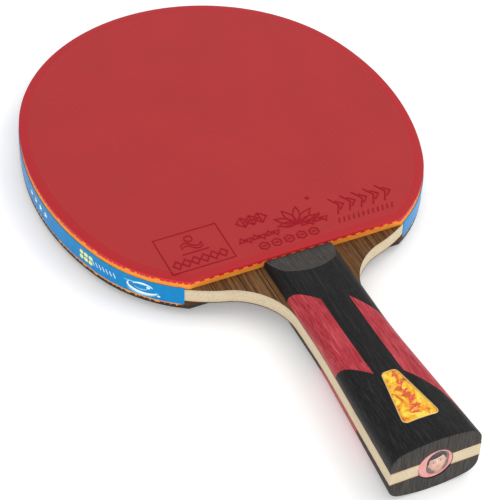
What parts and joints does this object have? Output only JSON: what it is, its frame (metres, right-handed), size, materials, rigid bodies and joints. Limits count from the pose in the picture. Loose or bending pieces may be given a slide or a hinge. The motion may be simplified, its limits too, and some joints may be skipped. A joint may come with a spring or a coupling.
{
  "type": "table tennis paddle",
  "caption": "Table tennis paddle with a plywood blade, a red and a black rubber sheet on orange sponge, blue edge tape and a flared dark wooden handle with red inlays.",
  "frame": {"origin": "under the middle of the whole paddle, level with the lowest point of the backhand side of the butt", "axes": "+Y along the paddle from the butt to the tip of the head, +Z out of the red forehand face, +X to the right as the forehand is seen with the head up"},
  "size_m": [0.1504, 0.2582, 0.0243],
  "materials": {
    "pale_wood": "sanded, unfinished",
    "brown_veneer": "sanded open grain",
    "orange_sponge": "fine foam",
    "red_rubber": "satin",
    "black_rubber": "satin",
    "blue_tape": "glossy film",
    "black_wood": "stained satin",
    "red_wood": "stained satin",
    "gold_foil": "metallic foil",
    "clear_resin": "gloss",
    "pink_plastic": "gloss",
    "printed_plate": "printed"
  },
  "bodies": {
    "root": {"core_ply": "pale_wood", "forehand_middle_ply": "pale_wood", "backhand_middle_ply": "pale_wood", "forehand_face_ply": "brown_veneer", "backhand_face_ply": "brown_veneer", "forehand_sponge": "orange_sponge", "backhand_sponge": "orange_sponge", "forehand_topsheet": "red_rubber", "backhand_topsheet": "black_rubber", "edge_tape": "blue_tape", "forehand_scale": "black_wood", "backhand_scale": "black_wood", "forehand_left_inlay": "red_wood", "forehand_right_inlay": "red_wood", "backhand_left_inlay": "red_wood", "backhand_right_inlay": "red_wood", "badge_foil": "gold_foil", "badge_cover": "clear_resin", "butt_ring": "pink_plastic", "butt_portrait": "printed_plate", "butt_lens": "clear_resin"}
  },
  "joints": []
}
